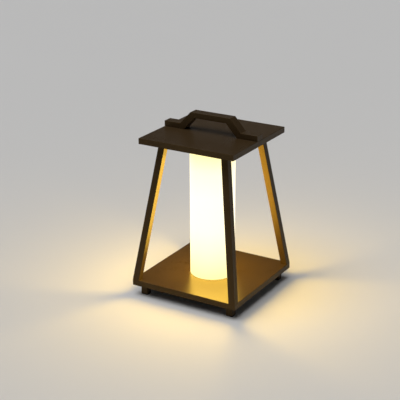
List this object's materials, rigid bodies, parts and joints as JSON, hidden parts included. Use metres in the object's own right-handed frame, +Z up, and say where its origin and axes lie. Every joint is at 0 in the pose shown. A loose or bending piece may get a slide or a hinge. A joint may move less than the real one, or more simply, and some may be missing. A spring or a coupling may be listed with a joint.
{
  "type": "portable table lamp",
  "caption": "Portable lantern-style table lamp: an opal light tube between a square tray base and a square lid on slanted posts, with a bent bar handle on top.",
  "frame": {"origin": "middle of the lamp's footprint, on the surface that it stands on", "axes": "+Z up; +X to the lamp's right, along the handle; -Y is the front, and the button and the charging port are at the back, +Y"},
  "size_m": [0.2, 0.2015, 0.3126],
  "materials": {
    "dark_metal": "satin dark bronze powder coat",
    "under_metal": "satin dark bronze powder coat",
    "rubber": "matte",
    "opal_plastic": "opal, lit from inside",
    "steel": "zinc plated",
    "aluminium": "extruded, bare",
    "white_plastic": "moulded, matte",
    "black_plastic": "moulded, matte",
    "board_green": "solder mask",
    "board_white": "white solder mask",
    "led_yellow": "phosphor in a clear cap",
    "cell_blue": "shrink sleeve",
    "lead_red": "insulated wire"
  },
  "bodies": {
    "frame": {"base_tray": "dark_metal", "foot_bosses": "dark_metal", "board_bosses": "dark_metal", "bottom_cover": "under_metal", "battery_pan": "under_metal", "pan_nuts": "steel", "pan_screws": "steel", "foot_front_left": "dark_metal", "foot_front_right": "dark_metal", "foot_back_left": "dark_metal", "foot_back_right": "dark_metal", "pad_front_left": "rubber", "pad_front_right": "rubber", "pad_back_left": "rubber", "pad_back_right": "rubber", "foot_screws": "steel", "post_front_left": "dark_metal", "post_front_right": "dark_metal", "post_back_left": "dark_metal", "post_back_right": "dark_metal", "post_base_screws": "steel", "post_lid_screws": "steel", "lid": "dark_metal", "lid_plate": "under_metal", "lid_spacers": "aluminium", "handle": "dark_metal", "handle_screws": "steel", "opal_tube": "opal_plastic", "lower_holder": "white_plastic", "upper_holder": "white_plastic", "lower_seal": "rubber", "upper_seal": "rubber", "lower_holder_screws": "steel", "upper_holder_screws": "steel", "led_column": "aluminium", "led_board_front": "board_white", "led_board_back": "board_white", "led_board_left": "board_white", "led_board_right": "board_white", "led_chips": "led_yellow", "led_board_screws": "steel", "battery_cradle": "black_plastic", "cell_front": "cell_blue", "cell_back": "cell_blue", "cell_contacts": "steel", "battery_leads": "lead_red", "led_leads": "lead_red", "control_board": "board_green", "board_screws": "steel", "charging_socket": "steel", "socket_tongue": "black_plastic", "switch_body": "black_plastic", "control_chip": "black_plastic", "power_inductor": "black_plastic", "lead_sockets": "white_plastic", "flap_strap": "rubber"},
    "button": {"power_button": "rubber", "switch_plunger": "white_plastic"},
    "flap": {"port_flap": "rubber"}
  },
  "joints": [
    {"name": "button_press", "type": "slide", "parent": "frame", "child": "button", "axis": [0, -1, 0], "range_m": [0, 0.001], "stiffness_N_per_m": 800, "springref_m": -0.0005},
    {"name": "flap_hinge", "type": "hinge", "parent": "frame", "child": "flap", "pos_m": [0.0114, 0.1008, 0.0237], "axis": [0, 0, 1], "range_deg": [0, 95]}
  ]
}
